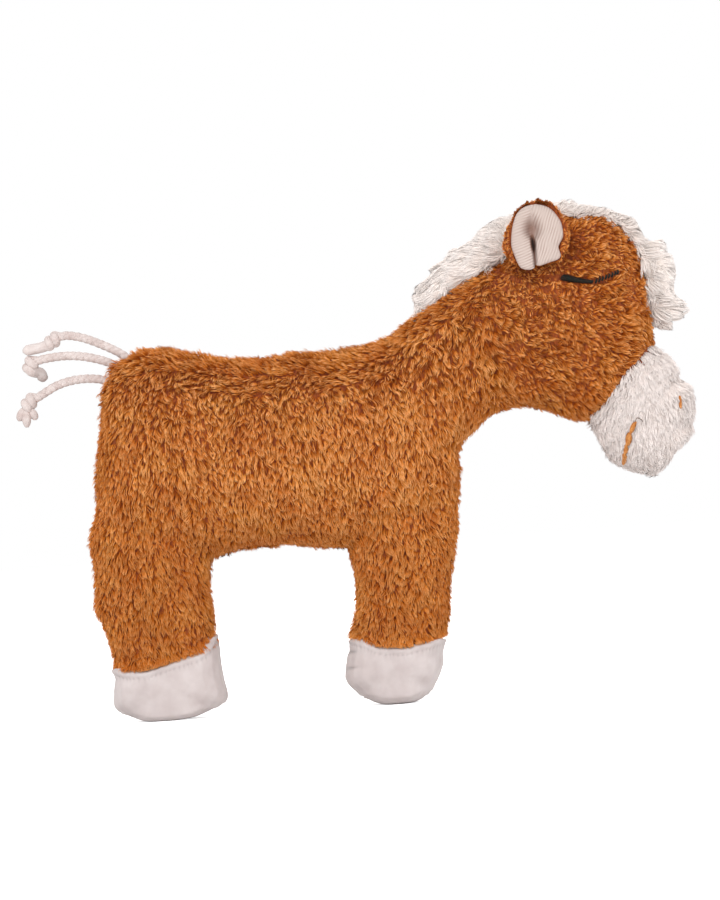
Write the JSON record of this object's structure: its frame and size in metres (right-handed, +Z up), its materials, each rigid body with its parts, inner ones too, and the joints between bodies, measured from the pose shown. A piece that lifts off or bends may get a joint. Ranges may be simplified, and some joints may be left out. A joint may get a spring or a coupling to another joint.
{
  "type": "horse rattle",
  "caption": "Stuffed plush horse baby rattle with cotton hooves, a long-pile mane, ears that fold, a tail of knotted cords, and a capsule of loose beads inside.",
  "frame": {"origin": "on the floor under the middle of the toy's length, tail cords left out, and midway between its two sides", "axes": "+X from the tail towards the nose, +Y towards the horse's left side, +Z up from the soles"},
  "size_m": [0.205, 0.0488, 0.1486],
  "materials": {
    "brown_plush": "curly cotton pile",
    "hoof_cotton": "smooth woven cotton",
    "muzzle_plush": "short dense pile",
    "mane_plush": "long shaggy pile",
    "ear_jersey": "ribbed jersey",
    "tail_cotton": "braided cord",
    "eye_thread": "embroidery thread",
    "mouth_thread": "embroidery thread",
    "wool_filling": "loose wadding",
    "capsule_plastic": "moulded",
    "bead_plastic": "moulded"
  },
  "bodies": {
    "body": {"torso_panel_right": "brown_plush", "torso_panel_left": "brown_plush", "torso_filling_right": "wool_filling", "torso_filling_left": "wool_filling", "rattle_cup": "capsule_plastic", "rattle_lid": "capsule_plastic", "hind_leg": "brown_plush", "front_leg": "brown_plush", "hind_hoof": "hoof_cotton", "front_hoof": "hoof_cotton", "neck": "brown_plush", "head": "brown_plush", "muzzle": "muzzle_plush", "mane_crest": "mane_plush", "forelock": "mane_plush", "eye_stitch_right": "eye_thread", "eye_stitch_left": "eye_thread", "mouth_stitch_right": "mouth_thread", "mouth_stitch_left": "mouth_thread", "nostril_stitch_right": "mouth_thread", "nostril_stitch_left": "mouth_thread"},
    "ear_right": {"ear_back_right": "brown_plush", "ear_lining_right": "ear_jersey"},
    "ear_left": {"ear_back_left": "brown_plush", "ear_lining_left": "ear_jersey"},
    "cord_upper": {"tail_cord_upper": "tail_cotton", "tail_knot_upper": "tail_cotton"},
    "cord_middle": {"tail_cord_middle": "tail_cotton", "tail_knot_middle": "tail_cotton"},
    "cord_lower": {"tail_cord_lower": "tail_cotton", "tail_knot_lower": "tail_cotton"},
    "bead_1": {"rattle_bead_1": "bead_plastic"},
    "bead_2": {"rattle_bead_2": "bead_plastic"},
    "bead_3": {"rattle_bead_3": "bead_plastic"},
    "bead_4": {"rattle_bead_4": "bead_plastic"},
    "bead_5": {"rattle_bead_5": "bead_plastic"},
    "bead_6": {"rattle_bead_6": "bead_plastic"},
    "bead_7": {"rattle_bead_7": "bead_plastic"}
  },
  "joints": [
    {"name": "ear_right_fold", "type": "hinge", "parent": "body", "child": "ear_right", "pos_m": [0.0471, -0.0175, 0.1274], "axis": [1, 0, 0], "range_deg": [0, 65], "stiffness_Nm_per_rad": 0.0004},
    {"name": "ear_left_fold", "type": "hinge", "parent": "body", "child": "ear_left", "pos_m": [0.0471, 0.0175, 0.1274], "axis": [-1, 0, 0], "range_deg": [0, 65], "stiffness_Nm_per_rad": 0.0004},
    {"name": "cord_upper_swing", "type": "hinge", "parent": "body", "child": "cord_upper", "pos_m": [-0.0778, 0, 0.1098], "axis": [0, 0, 1], "range_deg": [-35, 35], "stiffness_Nm_per_rad": 0.0002},
    {"name": "cord_middle_swing", "type": "hinge", "parent": "body", "child": "cord_middle", "pos_m": [-0.0816, 0, 0.1065], "axis": [0, 0, 1], "range_deg": [-35, 35], "stiffness_Nm_per_rad": 0.0002},
    {"name": "cord_lower_swing", "type": "hinge", "parent": "body", "child": "cord_lower", "pos_m": [-0.0836, 0, 0.103], "axis": [0, 0, 1], "range_deg": [-35, 35], "stiffness_Nm_per_rad": 0.0002},
    {"name": "rattle_bead_1_slide", "type": "slide", "parent": "body", "child": "bead_1", "axis": [0, 0, 1], "range_m": [0, 0.0182]},
    {"name": "rattle_bead_2_slide", "type": "slide", "parent": "body", "child": "bead_2", "axis": [0, 0, 1], "range_m": [0, 0.0155]},
    {"name": "rattle_bead_3_slide", "type": "slide", "parent": "body", "child": "bead_3", "axis": [0, 0, 1], "range_m": [0, 0.0155]},
    {"name": "rattle_bead_4_slide", "type": "slide", "parent": "body", "child": "bead_4", "axis": [0, 0, 1], "range_m": [0, 0.0155]},
    {"name": "rattle_bead_5_slide", "type": "slide", "parent": "body", "child": "bead_5", "axis": [0, 0, 1], "range_m": [0, 0.0155]},
    {"name": "rattle_bead_6_slide", "type": "slide", "parent": "body", "child": "bead_6", "axis": [0, 0, 1], "range_m": [0, 0.0155]},
    {"name": "rattle_bead_7_slide", "type": "slide", "parent": "body", "child": "bead_7", "axis": [0, 0, 1], "range_m": [0, 0.0155]}
  ]
}
